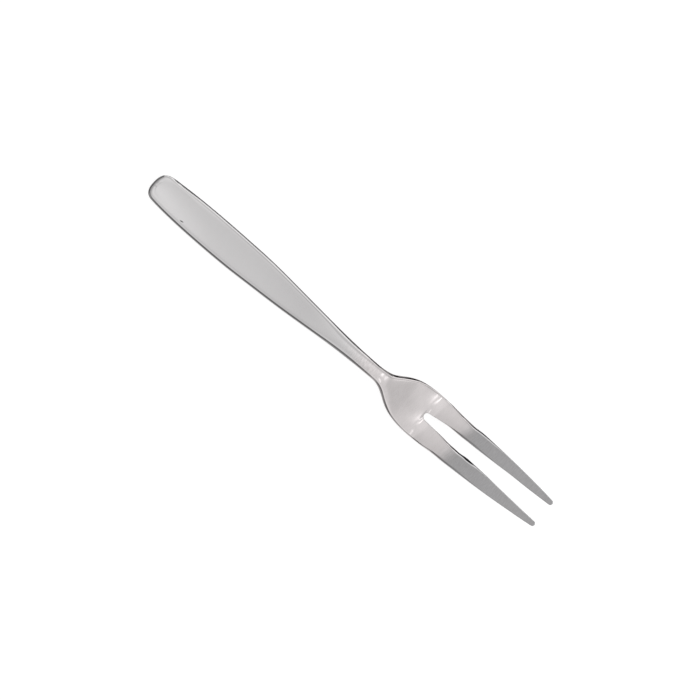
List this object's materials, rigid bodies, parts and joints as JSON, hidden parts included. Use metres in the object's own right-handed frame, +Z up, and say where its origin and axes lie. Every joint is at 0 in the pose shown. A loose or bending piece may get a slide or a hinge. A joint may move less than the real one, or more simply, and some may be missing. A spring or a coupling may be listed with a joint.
{
  "type": "serving fork",
  "caption": "Slim serving fork with long tapering tines, a narrow neck and a flat teardrop handle, stamped in one piece of polished stainless steel.",
  "frame": {"origin": "middle of the fork in plan, on the table plane that the handle and the heel of the head rest on", "axes": "+X from the handle's end to the tips, +Z up out of the fork's face, +Y across to the left of a viewer who looks along +X"},
  "size_m": [0.15, 0.0154, 0.0096],
  "materials": {
    "steel": "polished, with fine brushing across the neck, head and tines"
  },
  "bodies": {
    "root": {"fork": "steel"}
  },
  "joints": []
}
